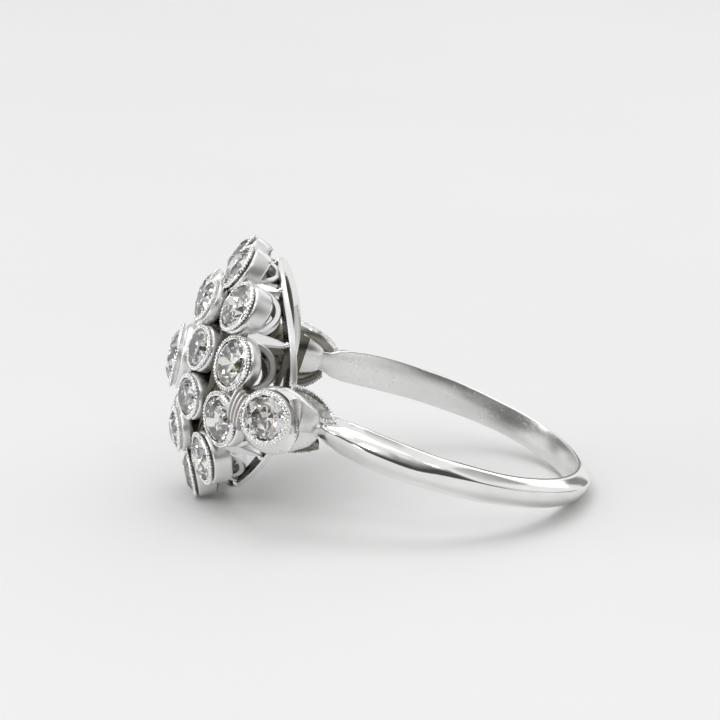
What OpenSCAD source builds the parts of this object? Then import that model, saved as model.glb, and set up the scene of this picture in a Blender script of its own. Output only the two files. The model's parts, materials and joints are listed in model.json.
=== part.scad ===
// Diamond cluster ring: a polished shank with a three-tier cluster of collet-set stones.
// The ring lies on its side, as it rests on a table: the cluster is towards -X, the back of
// the shank towards +X, and the underside is on Z = 0. All sizes are in millimetres.
// Most modules work in the ring's own frame, before it is laid down: the finger's axis is Z,
// the middle of the finger hole is the origin, and the cluster looks towards -X.

/* [Finger hole and shank] */
// Inside diameter of the finger hole
finger_d = 17.0; // [16.5:0.1:17.5]
// Thickness of the shank at its back
shank_back_t = 0.95; // [0.85:0.05:1.1]
// Depth of the shank near the shoulders, where it is deepest
shank_front_t = 1.4; // [1.2:0.05:1.5]
// Width of the shank along the finger at its back
shank_back_w = 1.6; // [1.4:0.05:1.8]
// Greatest width of the shank, behind the shoulders
shank_front_w = 1.95; // [1.8:0.05:2.1]
// Width of the narrow neck where the shank meets a shoulder
neck_w = 0.9; // [0.8:0.05:1.2]
// Angle from the middle of the cluster round to the neck
neck_angle = 56; // [54:1:58]

/* [Cluster] */
// Diameter of the centre stone
centre_d = 3.1; // [2.9:0.05:3.2]
// Height of the centre stone's girdle from the finger's axis
centre_p = 13.85; // [13.75:0.05:13.95]
// Diameter of each stone of the raised inner row
inner_d = 2.1; // [2.0:0.05:2.1]
// Height of the inner row's girdles from the finger's axis, at the ends of the row
inner_p = 13.1; // [13.05:0.05:13.2]
// Reach of the inner row along the finger
inner_reach = 4.1; // [4.1:0.05:4.2]
// Reach of the inner row across the finger
inner_half_w = 2.95; // [2.95:0.05:3.05]
// Diameter of an outer stone at the ends of the cluster
outer_end_d = 2.35; // [2.2:0.05:2.4]
// Diameter of an outer stone at the sides of the cluster
outer_side_d = 2.6; // [2.4:0.05:2.65]
// Height of the outer row's girdles from the finger's axis, at the ends of the row
outer_p = 11.8; // [11.75:0.05:11.9]
// Reach of the outer row along the finger
outer_reach = 6.0; // [5.9:0.05:6.1]
// Reach of the outer row across the finger
outer_half_w = 5.35; // [5.2:0.05:5.5]
// Lean of the whole cluster on the shank, in degrees
head_pitch = 5.5; // [0:0.5:7]

/* [Shoulders] */
// Diameter of a shoulder stone
shoulder_d = 2.45; // [2.3:0.05:2.6]
// Turn of a shoulder stone's face from the middle of the cluster, in degrees
shoulder_turn = 62; // [58:1:66]

/* [Hidden] */
outer_n = 12;
inner_n = 8;

finger_r = finger_d / 2;
metal_colour = [0.80, 0.80, 0.79];
stone_colour = [0.86, 0.92, 0.93];

// Cut of every stone, as shares of its radius: table, star tips, crown and pavilion depth
table_share = 0.55;
star_share = 0.79;
crown_share = 0.30;
pavilion_share = 0.86;
lower_share = 0.50;
girdle_share = 0.03;

// Collets: the gap round a stone, the wall, the rim above the girdle and the taper of the cup
stone_gap = 0.04;
wall_t = 0.22;
rim_up = 0.17;
seat_drop = 0.09;
cup_taper = 0.74;
back_hole_share = 0.52;
seat_clear = 0.3;
back_clear = 1;
centre_cup_h = 2.5;
inner_cup_h = 1.9;
outer_cup_h = 1.25;

// How far the side stones of each row drop towards the finger, and how the rows lean outwards
inner_drop = 0.3;
outer_drop = 0.85;
inner_lean = [18, 28];
outer_lean = [23, 37];

// First and second angles of the inner row's four like corners
inner_side_angle = 19.5;
inner_end_angle = 62.5;

// Pierced plate that the cups stand in
plate_low = 11.45;
plate_t = 0.55;
plate_reach = 5.25;
plate_half_w = 4.25;

// Rail that follows the finger under the cluster
rail_r = 9.4;
rail_t = 0.4;
rail_reach = 6.35;
rail_half_w = 5.95;
rail_strip = 0.65;
rail_sides = 48;
rail_foot = 5;

// Arched gallery between the cups and the rail, and the posts at its joins
arch_wire = 0.28;
arch_strip = 0.6;
arch_gap = 0.12;
arch_start = 0.95;
arch_inset = 0.15;
post_start = 0.55;
post_inset = 0.1;
post_top_r = 0.34;
post_foot_r = 0.2;

// Shoulder: place of the stone's girdle, rim, widest round and the balls that shape its bulb
shoulder_p = 8.75;
shoulder_q = 8.45;
bulb_r = 1.72;
bulb_depth = 0.9;
bulb_h = 0.4;
waist_ball = [10.35, 1.4];
waist_angle = 46.3;
tail_ball = [9.96, 0.9];
tail_angle = 48.9;
rim_h = 0.3;
shoulder_seat_h = 1.5;
neck_ball = [9.05, 0.5];
root_ball = [9.2, 0.8];
root_angle = 37;
strap_ball = [9.6, 6.25, 0.75];

// Leaf on each side of a shoulder
leaf_arc_r = 2.1;
leaf_half_w = 0.62;
leaf_t = 0.7;
leaf_angle = 48.1;
leaf_r = 9.81;
leaf_n = 1.2;
leaf_turn = 12;
leaf_slope = 20;
leaf_roll = 32;

// Shank: its own axis is set towards the cluster, so that it deepens towards the shoulders
shank_shift = (shank_front_t - shank_back_t) / (1 + cos(neck_angle));
shank_r = finger_r + shank_back_t + shank_shift;
shank_round = 1.15;
shank_square = 1.8;
shank_arc = 12;
neck_x = 5.1;
bore_cut = 0.6;
bore_h = 5;

// Pivot of the cluster's lean, on the side shoulders
pivot_p = 9;

// Angle of stone k along its row, counted from the side of the finger
function outer_angle(k) = (k - 0.5) * 360 / outer_n;
function inner_angle(k) =
    let (corner = [inner_side_angle, inner_end_angle, 180 - inner_end_angle, 180 - inner_side_angle])
    k <= 4 ? corner[k - 1] : 180 + corner[k - 5];

// Stone sizes, heights and leans go from their end value to their side value along the row
function side_share(angle) = pow(cos(angle), 2);
function between(end_value, side_value, angle) = end_value + (side_value - end_value) * side_share(angle);
function outer_d(angle) = between(outer_end_d, outer_side_d, angle);
function outer_height(angle) = between(outer_p, outer_p - outer_drop, angle);
function cup_r(d) = d / 2 + stone_gap + wall_t;

// Turn about X that faces outwards from an ellipse at an angle along it
function out_turn(half_w, reach, angle) = atan2(sin(angle) / reach, cos(angle) / half_w);

// A point of the ring at an angle round the finger from the cluster, near side first
function round_finger(r, angle, z) = [-r * cos(angle), -r * sin(angle), z];

// Places children on an ellipse of the cluster: +Y is outwards, +X towards the finger
module on_row(half_w, reach, angle, p) {
    translate([-p, half_w * cos(angle), reach * sin(angle)])
        rotate([out_turn(half_w, reach, angle), 0, 0])
            children();
}

// Stands children up as a stone stands in its row, leaning outwards, table towards their +Z
module leaning(lean) {
    rotate([0, 0, -lean])
        rotate([0, -90, 0])
            children();
}

module at_outer(k) {
    angle = outer_angle(k);
    on_row(outer_half_w, outer_reach, angle, outer_height(angle))
        leaning(between(outer_lean[0], outer_lean[1], angle))
            children();
}

module at_inner(k) {
    angle = inner_angle(k);
    on_row(inner_half_w, inner_reach, angle, between(inner_p, inner_p - inner_drop, angle))
        leaning(between(inner_lean[0], inner_lean[1], angle))
            children();
}

module at_centre() {
    translate([-centre_p, 0, 0])
        rotate([0, -90, 0])
            children();
}

// The near shoulder has side -1, the far one side 1
module at_shoulder(side) {
    translate([-shoulder_p, side * shoulder_q, 0])
        rotate([0, 0, -side * shoulder_turn])
            rotate([0, -90, 0])
                children();
}

// The cluster's lean on the shank
module leaned_head() {
    translate([-pivot_p, 0, 0])
        rotate([0, -head_pitch, 0])
            translate([pivot_p, 0, 0])
                children();
}

// A round bar between two points
module bar(from, to, r_from, r_to) {
    run = to - from;
    translate(from)
        rotate([0, acos(run[2] / norm(run)), atan2(run[1], run[0])])
            cylinder(r1 = r_from, r2 = r_to, h = norm(run), $fn = 24);
}

// Old round cut with a flat table, 32 crown facets and 24 pavilion facets, girdle on Z = 0
module brilliant(d) {
    r = d / 2;
    girdle = girdle_share * r;
    crown_slope = crown_share / (1 - table_share);
    table_z = girdle + crown_share * r;
    star_z = girdle + crown_slope * r * (1 - star_share * cos(22.5));
    lower_z = -girdle - pavilion_share * r * (1 - lower_share * cos(22.5));
    function ring_of(n, radius, z, first) =
        [for (i = [0:n - 1]) [radius * cos(first + i * 360 / n), radius * sin(first + i * 360 / n), z]];
    table = ring_of(8, table_share * r, table_z, 0);
    stars = ring_of(8, star_share * r, star_z, 22.5);
    upper = ring_of(16, r, girdle, 0);
    lower = ring_of(16, r, -girdle, 0);
    halves = ring_of(8, lower_share * r, lower_z, 22.5);
    culet = [[0, 0, -girdle - pavilion_share * r]];
    t0 = 0;
    s0 = 8;
    u0 = 16;
    l0 = 32;
    h0 = 48;
    c0 = 56;
    polyhedron(
        points = concat(table, stars, upper, lower, halves, culet),
        faces = concat(
            [[for (i = [7:-1:0]) t0 + i]],
            [for (i = [0:7]) [t0 + i, t0 + (i + 1) % 8, s0 + i]],
            [for (i = [0:7]) [t0 + i, s0 + i, u0 + 2 * i]],
            [for (i = [0:7]) [t0 + i, u0 + 2 * i, s0 + (i + 7) % 8]],
            [for (i = [0:7]) [s0 + i, u0 + 2 * i + 1, u0 + 2 * i]],
            [for (i = [0:7]) [s0 + i, u0 + (2 * i + 2) % 16, u0 + 2 * i + 1]],
            [for (i = [0:15]) [u0 + i, u0 + (i + 1) % 16, l0 + i]],
            [for (i = [0:15]) [u0 + (i + 1) % 16, l0 + (i + 1) % 16, l0 + i]],
            [for (i = [0:7]) [h0 + i, l0 + 2 * i, l0 + 2 * i + 1]],
            [for (i = [0:7]) [h0 + i, l0 + 2 * i + 1, l0 + (2 * i + 2) % 16]],
            [for (i = [0:7]) [c0, h0 + (i + 7) % 8, l0 + 2 * i]],
            [for (i = [0:7]) [c0, l0 + 2 * i, h0 + i]]));
}

// Outside of a collet, wide at its rim and narrower at its back
module cup(d, h) {
    translate([0, 0, -h])
        cylinder(r1 = cup_r(d) * cup_taper, r2 = cup_r(d), h = h, $fn = 48);
    cylinder(r = cup_r(d), h = rim_up, $fn = 48);
}

// Room for the stone, with its seat and the open back of the collet
module seat(d, h) {
    hole_r = d / 2 + stone_gap;
    back_r = back_hole_share * d / 2;
    translate([0, 0, -seat_drop])
        cylinder(r = hole_r, h = seat_drop + rim_up + seat_clear, $fn = 48);
    translate([0, 0, -h])
        cylinder(r1 = back_r, r2 = hole_r, h = h - seat_drop, $fn = 48);
    translate([0, 0, -h - back_clear])
        cylinder(r = back_r, h = back_clear + seat_drop, $fn = 48);
}

// Does the same to each collet of the cluster
module each_cup() {
    at_centre()
        cup(centre_d, centre_cup_h);
    for (k = [1:inner_n])
        at_inner(k)
            cup(inner_d, inner_cup_h);
    for (k = [1:outer_n])
        at_outer(k)
            cup(outer_d(outer_angle(k)), outer_cup_h);
}

module each_seat() {
    at_centre()
        seat(centre_d, centre_cup_h);
    for (k = [1:inner_n])
        at_inner(k)
            seat(inner_d, inner_cup_h);
    for (k = [1:outer_n])
        at_outer(k)
            seat(outer_d(outer_angle(k)), outer_cup_h);
}

// Outline of an oval in the cluster's plane, along the finger and across it
function oval(reach, half_w, sides) =
    [for (i = [0:sides - 1]) [reach * cos(i * 360 / sides), half_w * sin(i * 360 / sides)]];

module oval_disc(p_low, height, reach, half_w) {
    translate([-p_low, 0, 0])
        rotate([0, -90, 0])
            linear_extrude(height = height)
                polygon(oval(reach, half_w, rail_sides));
}

// Plate under the cups, which their seats pierce
module gallery_plate() {
    oval_disc(plate_low, plate_t, plate_reach, plate_half_w);
}

// Oval rail, cut from a tube round the finger
module rail() {
    intersection() {
        difference() {
            oval_disc(rail_foot, rail_r, rail_reach, rail_half_w);
            oval_disc(rail_foot - 1, rail_r + 2, rail_reach - rail_strip, rail_half_w - rail_strip);
        }
        difference() {
            cylinder(r = rail_r + rail_t, h = 3 * rail_reach, center = true, $fn = 180);
            cylinder(r = rail_r, h = 4 * rail_reach, center = true, $fn = 180);
        }
    }
}

// Half hoop under an outer collet, bulging towards the finger
module arch(k) {
    angle = outer_angle(k);
    hoop_r = outer_d(angle) / 2 + wall_t - arch_gap;
    on_row(outer_half_w - arch_inset, outer_reach - arch_inset, angle, outer_height(angle) - arch_start)
        rotate([0, -90, -90])
            rotate_extrude(angle = 180, $fn = 48)
                translate([hoop_r - arch_wire, -arch_strip / 2])
                    square([arch_wire, arch_strip]);
}

// Tapered post between two outer collets, down to the rail
module post(k) {
    angle = outer_angle(k) + 180 / outer_n;
    top_q = (outer_half_w - post_inset) * cos(angle);
    top_z = (outer_reach - post_inset) * sin(angle);
    top_p = outer_height(angle) - post_start;
    foot_q = (rail_half_w - rail_strip / 2) * cos(angle);
    foot_z = (rail_reach - rail_strip / 2) * sin(angle);
    foot_p = sqrt(pow(rail_r + rail_t / 2, 2) - pow(foot_q, 2));
    bar([-top_p, top_q, top_z], [-foot_p, foot_q, foot_z], post_top_r, post_foot_r);
}

module cluster_metal() {
    each_cup();
    gallery_plate();
    rail();
    for (k = [1:outer_n]) {
        arch(k);
        post(k);
    }
}

// Bulb of a shoulder, drawn out to the shank's neck and up to the cluster
module shoulder_bulb(side) {
    hull() {
        at_shoulder(side) {
            translate([0, 0, rim_up - rim_h])
                cylinder(r = cup_r(shoulder_d), h = rim_h, $fn = 32);
            translate([0, 0, -bulb_depth])
                cylinder(r = bulb_r, h = bulb_h, $fn = 32);
        }
        translate(round_finger(waist_ball[0], -side * waist_angle, 0))
            sphere(r = waist_ball[1], $fn = 24);
        translate(round_finger(tail_ball[0], -side * tail_angle, 0))
            sphere(r = tail_ball[1], $fn = 24);
        translate(round_finger(neck_ball[0], -side * neck_angle, 0))
            sphere(r = neck_ball[1], $fn = 24);
        translate(round_finger(root_ball[0], -side * root_angle, 0))
            sphere(r = root_ball[1], $fn = 24);
        translate([-strap_ball[0], side * strap_ball[1], 0])
            sphere(r = strap_ball[2], $fn = 24);
    }
}

// Pointed leaf on the upper or lower side of a shoulder
module leaf(side, up) {
    middle = round_finger(leaf_r, -side * leaf_angle, up * leaf_n);
    offset_y = leaf_arc_r - leaf_half_w;
    translate(middle)
        rotate([0, 0, side * leaf_turn])
            rotate([0, up * leaf_slope, 0])
                rotate([-side * up * leaf_roll, 0, 0])
                    intersection() {
                        translate([0, offset_y, 0])
                            cylinder(r = leaf_arc_r, h = leaf_t, center = true, $fn = 64);
                        translate([0, -offset_y, 0])
                            cylinder(r = leaf_arc_r, h = leaf_t, center = true, $fn = 64);
                    }
}

// Rounded outside of the shank: radius from its own axis, and height along the finger
function sharp(value) = sign(value) * pow(abs(value), 2 / shank_square);
shank_profile = [for (j = [0:shank_arc])
    let (turn = -90 + j * 180 / shank_arc)
    [shank_r - shank_round * (1 - sharp(cos(turn))), shank_front_w / 2 * sharp(sin(turn))]];

// Half width of the shank by its place from the finger's axis to the back
shank_sides = [
    [-neck_x - 2, neck_w / 2],
    [-neck_x - 0.9, neck_w / 2],
    [-neck_x, shank_front_w * 0.36],
    [-4.4, shank_front_w * 0.46],
    [-3.5, shank_front_w * 0.49],
    [-2.3, shank_front_w / 2],
    [0.3, (shank_front_w + shank_back_w) / 4],
    [4.7, shank_back_w / 2],
    [shank_r, shank_back_w / 2]];
back_corner_r = lookup(-shank_back_w / 2, [for (point = shank_profile) [point[1], point[0]]]) - shank_shift;
back_points = concat(
    [[back_corner_r, 0, -shank_back_w / 2], [back_corner_r, 0, shank_back_w / 2]],
    [for (point = shank_profile) if (abs(point[1]) < shank_back_w / 2) [point[0] - shank_shift, 0, point[1]]]);

// Shank, from one neck round the back to the other, deeper towards the shoulders
module shank() {
    intersection() {
        translate([-shank_shift, 0, 0])
            rotate([0, 0, 180 + neck_angle])
                rotate_extrude(angle = 360 - 2 * neck_angle, $fn = 180)
                    polygon(concat(
                        [[finger_r - bore_cut, shank_front_w / 2], [finger_r - bore_cut, -shank_front_w / 2]],
                        shank_profile));
        rotate([90, 0, 0])
            linear_extrude(height = 3 * finger_r, center = true)
                polygon(concat(
                    shank_sides,
                    [for (i = [len(shank_sides) - 1:-1:0]) [shank_sides[i][0], -shank_sides[i][1]]]));
    }
}

// A point turned about the Y axis, and a point of the cluster once it leans on the shank
function turned(v, angle) = [v[0] * cos(angle) + v[2] * sin(angle), v[1], v[2] * cos(angle) - v[0] * sin(angle)];
function leaned(v) = turned(v + [pivot_p, 0, 0], -head_pitch) - [pivot_p, 0, 0];

// Middle of an outer stone's girdle and the way it faces, before the cluster leans
function row_point(angle) = [
    outer_drop * side_share(angle) - outer_p,
    outer_half_w * cos(angle),
    outer_reach * sin(angle)];
function row_face(angle) =
    let (lean = between(outer_lean[0], outer_lean[1], angle),
         turn = out_turn(outer_half_w, outer_reach, angle))
    [-cos(lean), sin(lean) * cos(turn), sin(lean) * sin(turn)];

// Lowest point of an outer collet's edge once the ring is tilted
function rim_low(k, tilt, along, radius) =
    let (angle = outer_angle(k),
         face = turned(turned(row_face(angle), -head_pitch), tilt),
         middle = turned(leaned(row_point(angle) + along * row_face(angle)), tilt))
    middle[2] - radius * sqrt(1 - pow(face[2], 2));
function head_low(tilt) =
    min([for (k = [7:12]) for (along = [0, rim_up])
        rim_low(k, tilt, along, cup_r(outer_d(outer_angle(k))))]);

// Lowest point of the back of the shank
function back_low(tilt) =
    min([for (point = back_points) turned(point, tilt)[2]]);

// Tilt at which the cluster and the back of the shank touch the table together, by halving
function rest_tilt(low, high, passes) =
    let (middle = (low + high) / 2)
    passes == 0 ? middle
    : head_low(middle) < back_low(middle) ? rest_tilt(middle, high, passes - 1)
    : rest_tilt(low, middle, passes - 1);

tilt = rest_tilt(5, 40, 24);
lift = -min(head_low(tilt), back_low(tilt));

// Middle of the ring's length as it lies, between the centre stone's table and the shank's back
table_lift = centre_d / 2 * (girdle_share + crown_share);
table_edge = centre_d / 2 * table_share;
front_x = min([for (z = [-table_edge, table_edge]) turned(leaned([-centre_p - table_lift, 0, z]), tilt)[0]]);
back_x = max([for (point = back_points) turned(point, tilt)[0]]);
shift = -(front_x + back_x) / 2;

// Lays the ring down on its side
module laid_down() {
    translate([shift, 0, lift])
        rotate([0, tilt, 0])
            children();
}

module ring_mount() {
    color(metal_colour)
        laid_down()
            difference() {
                union() {
                    shank();
                    leaned_head()
                        cluster_metal();
                    for (side = [-1, 1]) {
                        shoulder_bulb(side);
                        leaf(side, 1);
                        leaf(side, -1);
                    }
                }
                leaned_head()
                    each_seat();
                for (side = [-1, 1])
                    at_shoulder(side)
                        seat(shoulder_d, shoulder_seat_h);
                cylinder(r = finger_r, h = bore_h, center = true, $fn = 180);
            }
}

module centre_stone() {
    color(stone_colour)
        laid_down()
            leaned_head()
                at_centre()
                    brilliant(centre_d);
}

module inner_stone(k) {
    color(stone_colour)
        laid_down()
            leaned_head()
                at_inner(k)
                    brilliant(inner_d);
}

module outer_stone(k) {
    color(stone_colour)
        laid_down()
            leaned_head()
                at_outer(k)
                    brilliant(outer_d(outer_angle(k)));
}

module shoulder_stone(side) {
    color(stone_colour)
        laid_down()
            at_shoulder(side)
                brilliant(shoulder_d);
}

ring_mount();
centre_stone();
for (k = [1:inner_n])
    inner_stone(k);
for (k = [1:outer_n])
    outer_stone(k);
shoulder_stone(-1);  // shoulder_stone_1
shoulder_stone(1);  // shoulder_stone_2
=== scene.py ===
# Diamond cluster ring in polished white metal, lying on its side on a pale table.
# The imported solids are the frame. The stones stay, and the soldered mount is built again here
# from its real pieces: shank, shoulders, straps, leaves, rail, gallery, plate and collets.
import json
import math

import bmesh
import bpy
from mathutils import Matrix, Vector

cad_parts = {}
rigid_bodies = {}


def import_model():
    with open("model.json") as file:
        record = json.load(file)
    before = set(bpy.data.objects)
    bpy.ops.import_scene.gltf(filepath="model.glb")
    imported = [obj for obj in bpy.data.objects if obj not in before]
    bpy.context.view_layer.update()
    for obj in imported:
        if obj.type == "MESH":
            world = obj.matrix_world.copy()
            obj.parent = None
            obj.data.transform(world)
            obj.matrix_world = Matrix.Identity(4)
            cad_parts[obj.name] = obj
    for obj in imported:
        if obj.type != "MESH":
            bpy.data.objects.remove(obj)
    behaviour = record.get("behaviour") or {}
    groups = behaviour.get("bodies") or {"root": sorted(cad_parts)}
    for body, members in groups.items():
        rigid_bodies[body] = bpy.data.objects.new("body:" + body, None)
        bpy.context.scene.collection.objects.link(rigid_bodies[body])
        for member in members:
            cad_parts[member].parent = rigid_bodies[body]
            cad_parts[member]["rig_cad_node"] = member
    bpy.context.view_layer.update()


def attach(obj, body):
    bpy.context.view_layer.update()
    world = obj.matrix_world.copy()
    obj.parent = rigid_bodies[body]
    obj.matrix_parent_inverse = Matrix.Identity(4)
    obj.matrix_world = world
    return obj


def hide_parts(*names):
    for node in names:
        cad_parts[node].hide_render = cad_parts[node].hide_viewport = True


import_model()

# The ring as it lies
# It rests on the rims of its lowest collets and on the back of its shank, so the finger's axis
# leans. Each piece is drawn in millimetres in the ring's own frame, cluster towards -X, then laid.
# The pieces of the cluster are also leaned against the shank.
MM = 0.001
ring_tilt = math.radians(18.6373)
ring_shift = 2.48016
ring_lift = 3.59544
finger_r = 8.5
laid = (
    Matrix.Diagonal((MM, MM, MM, 1))
    @ Matrix.Translation((ring_shift, 0, ring_lift))
    @ Matrix.Rotation(ring_tilt, 4, "Y")
)
cluster_pivot = 9.0
cluster_pitch = math.radians(5.5)
leaned = (
    laid
    @ Matrix.Translation((-cluster_pivot, 0, 0))
    @ Matrix.Rotation(-cluster_pitch, 4, "Y")
    @ Matrix.Translation((cluster_pivot, 0, 0))
)

# Camera
# A long lens from the near shoulder's side, a little above the table, at the photograph's angle.
camera_rise = math.radians(14.5)
camera_away = 180.0
frame_width = 38.92
sensor_width = 36.0
aim_left, aim_up = 3.46, 3.57
look = Vector((0, math.cos(camera_rise), -math.sin(camera_rise)))
camera_up = Vector((0, math.sin(camera_rise), math.cos(camera_rise)))
target = Vector((ring_shift - aim_left, 0, ring_lift)) + aim_up * camera_up
camera_data = bpy.data.cameras.new("camera")
camera_data.sensor_width = sensor_width
camera_data.lens = sensor_width * camera_away / frame_width
camera_data.clip_start = 0.01
camera_data.clip_end = 20.0
camera = bpy.data.objects.new("camera", camera_data)
camera.location = MM * (target - camera_away * look)
camera.rotation_euler = (math.pi / 2 - camera_rise, 0, 0)
bpy.context.scene.collection.objects.link(camera)
bpy.context.scene.camera = camera
bpy.context.scene.view_settings.view_transform = "Standard"


# Table and studio light
# A pale matt table under three big soft lights, with eight small lamps that make the stones glint.
# The room is pale, but darker low down in front, which the polished metal shows as a dark band.
class Shader:
    """The nodes of one material or world, added one call at a time."""

    def __init__(self, tree):
        tree.nodes.clear()
        self.tree = tree

    def add(self, kind, settings=None, out=0, **inputs):
        node = self.tree.nodes.new(kind)
        for key, value in (settings or {}).items():
            if key == "stops":
                ramp = node.color_ramp
                while len(ramp.elements) < len(value):
                    ramp.elements.new(0.5)
                for element, (place, colour) in zip(ramp.elements, value):
                    element.position = place
                    element.color = (*(colour if isinstance(colour, tuple) else (colour,) * 3), 1)
            else:
                setattr(node, key, value)
        for key, value in inputs.items():
            name = key.replace("_", " ")
            by_number = name.startswith("in") and name[2:].isdigit()
            socket = node.inputs[int(name[2:]) if by_number else name]
            if isinstance(value, Wire):
                self.tree.links.new(value.socket, socket)
            else:
                socket.default_value = value
        return Wire(self, node.outputs[out]) if node.outputs else node


class Wire:
    """One socket, so that shader maths reads as an expression."""

    def __init__(self, shader, socket):
        self.shader = shader
        self.socket = socket

    def maths(self, operation, first, second, clamp=False):
        settings = {"operation": operation, "use_clamp": clamp}
        return self.shader.add("ShaderNodeMath", settings, in0=first, in1=second)

    def __add__(self, other):
        return self.maths("ADD", self, other)

    def __radd__(self, other):
        return self.maths("ADD", other, self)

    def __sub__(self, other):
        return self.maths("SUBTRACT", self, other)

    def __rsub__(self, other):
        return self.maths("SUBTRACT", other, self)

    def __mul__(self, other):
        return self.maths("MULTIPLY", self, other)

    def __rmul__(self, other):
        return self.maths("MULTIPLY", other, self)

    def clamped(self):
        return self.maths("ADD", self, 0.0, clamp=True)

    def between(self, low, high):
        return self.maths("MULTIPLY", self - low, 1.0 / (high - low), clamp=True)

    def out(self, name):
        return Wire(self.shader, self.socket.node.outputs[name])


def new_material(name):
    material = bpy.data.materials.new(name)
    material.use_nodes = True
    return material, Shader(material.node_tree)


table_material, nodes = new_material("pale_table")
place = nodes.add("ShaderNodeTexCoord", out=3)
table_tone = nodes.add("ShaderNodeTexNoise", Vector=place, Scale=9.0, Detail=3.0)
table_shader = nodes.add(
    "ShaderNodeBsdfPrincipled",
    Base_Color=nodes.add("ShaderNodeValToRGB", {"stops": [(0.3, 0.80), (0.7, 0.84)]}, Fac=table_tone),
    Roughness=0.62,
)
nodes.add("ShaderNodeOutputMaterial", Surface=table_shader)
table_mesh = bpy.data.meshes.new("table")
table_corners = [(-1.5, -1.0, 0), (1.5, -1.0, 0), (1.5, 2.0, 0), (-1.5, 2.0, 0)]
table_mesh.from_pydata(table_corners, [], [(0, 1, 2, 3)])
table_mesh.materials.append(table_material)
table = bpy.data.objects.new("table", table_mesh)
bpy.context.scene.collection.objects.link(table)

world = bpy.data.worlds.new("pale_room")
bpy.context.scene.world = world
world.use_nodes = True
room = Shader(world.node_tree)
way = room.add("ShaderNodeTexCoord", out=0)
direction = room.add("ShaderNodeSeparateXYZ", Vector=way)
to_front = (0.0 - direction.out("Y")).between(0.02, 0.55)
low_down = 1.0 - direction.out("Z").between(0.34, 0.62)
band = to_front * low_down * 0.94
panels = room.add(
    "ShaderNodeTexWave",
    {"bands_direction": "X"},
    Vector=way,
    Scale=1.15,
    Distortion=3.0,
    Detail=1.0,
    Phase_Offset=0.6,
)
gaps = (1.0 - panels.between(0.22, 0.55)) * (1.0 - direction.out("Z").between(0.45, 0.8)) * 0.62
darkness = band.maths("MAXIMUM", band, gaps)
room_tone = room.add(
    "ShaderNodeValToRGB",
    {"stops": [(0.0, (1.0, 1.0, 1.0)), (0.5, (0.36, 0.355, 0.34)), (1.0, (0.045, 0.042, 0.036))]},
    Fac=darkness,
)
plain = room.add("ShaderNodeLightPath", out="Is Camera Ray")
backdrop = (0.9, 0.9, 0.9, 1)
seen = room.add("ShaderNodeMix", {"data_type": "RGBA"}, out=2, in0=plain, in6=room_tone, in7=backdrop)
room.add("ShaderNodeOutputWorld", Surface=room.add("ShaderNodeBackground", Color=seen, Strength=0.9))


def soft_light(name, place, towards, size, strength):
    data = bpy.data.lights.new(name, "AREA")
    data.shape = "RECTANGLE"
    data.size, data.size_y = size
    data.energy = strength
    light = bpy.data.objects.new(name, data)
    light.location = place
    light.rotation_euler = (Vector(towards) - Vector(place)).to_track_quat("-Z", "Y").to_euler()
    bpy.context.scene.collection.objects.link(light)


soft_light("light_overhead", (-0.05, 0.10, 0.42), (0, 0, 0), (0.36, 0.30), 0.42)
soft_light("light_left", (-0.42, -0.08, 0.20), (0, 0, 0.01), (0.22, 0.22), 0.16)
soft_light("light_behind", (0.20, 0.45, 0.22), (0, 0, 0), (0.30, 0.14), 0.12)
lamp_places = (
    (-0.30, -0.22, 0.22), (-0.12, -0.34, 0.30), (-0.36, 0.06, 0.16), (0.16, -0.30, 0.34),
    (-0.24, -0.34, 0.06), (-0.38, -0.12, 0.05), (-0.40, -0.02, 0.12), (-0.16, -0.20, 0.40),
)
lamp_aim, lamp_size, lamp_strength = (-0.008, 0, 0.004), (0.045, 0.045), 0.055
for i, place in enumerate(lamp_places):
    soft_light(f"lamp_{i + 1}", place, lamp_aim, lamp_size, lamp_strength)


# White metal
# Bright white gold, polished, with the faint ripple and hairlines of hand polishing. Drums, hoops
# and shoulders are brushed or worn softer. The upper leaf floors are grained. Grooves, the lower
# leaves, the insides and the backs have shade painted into their colour: grey, or near black where it is
# deepest.
def metal(name, tone, rough, ripple, hairlines, speckle=0.0):
    material, nodes = new_material(name)
    place = nodes.add("ShaderNodeTexCoord", out=3)
    slow = nodes.add("ShaderNodeTexNoise", Vector=place, Scale=420.0, Detail=2.0)
    fine = nodes.add("ShaderNodeTexNoise", Vector=place, Scale=5200.0, Detail=3.0)
    along = nodes.add("ShaderNodeMapping", Vector=place, Scale=(1.0, 1.0, 9.0))
    lines = nodes.add("ShaderNodeTexNoise", Vector=along, Scale=2600.0, Detail=4.0)
    light = tuple(min(1.0, c * 1.03) for c in tone)
    dark = tuple(c * (0.95 - 0.5 * speckle) for c in tone)
    tones = {"stops": [(0.35, dark), (0.65, light)]}
    colour = nodes.add("ShaderNodeValToRGB", tones, Fac=fine if speckle else slow)
    roughness = rough + (fine - 0.5) * 0.08 + (slow - 0.5) * 0.05
    height = slow * ripple + lines * hairlines + fine * (speckle * 0.00004)
    normal = nodes.add("ShaderNodeBump", Strength=1.0, Distance=1.0, Height=height)
    shader = nodes.add(
        "ShaderNodeBsdfPrincipled",
        Base_Color=colour,
        Metallic=1.0,
        Roughness=roughness.clamped(),
        Normal=normal,
    )
    nodes.add("ShaderNodeOutputMaterial", Surface=shader)
    return material


polished = metal("polished_white_metal", (0.88, 0.88, 0.87), 0.09, 0.0000055, 0.0000012)
satin = metal("satin_white_metal", (0.84, 0.84, 0.84), 0.34, 0.000014, 0.000002)
softened = metal("softened_white_metal", (0.86, 0.86, 0.855), 0.26, 0.00001, 0.000002)
# These two are painted shade, not finishes: near black for deep shade, grey for half shade.
cast = metal("cast_white_metal", (0.15, 0.14, 0.12), 0.28, 0.00002, 0.000003)
dulled = metal("dulled_white_metal", (0.36, 0.345, 0.32), 0.36, 0.00002, 0.000003)
grained = metal("grained_white_metal", (0.52, 0.51, 0.48), 0.26, 0.00002, 0.000002, speckle=0.8)


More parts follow.
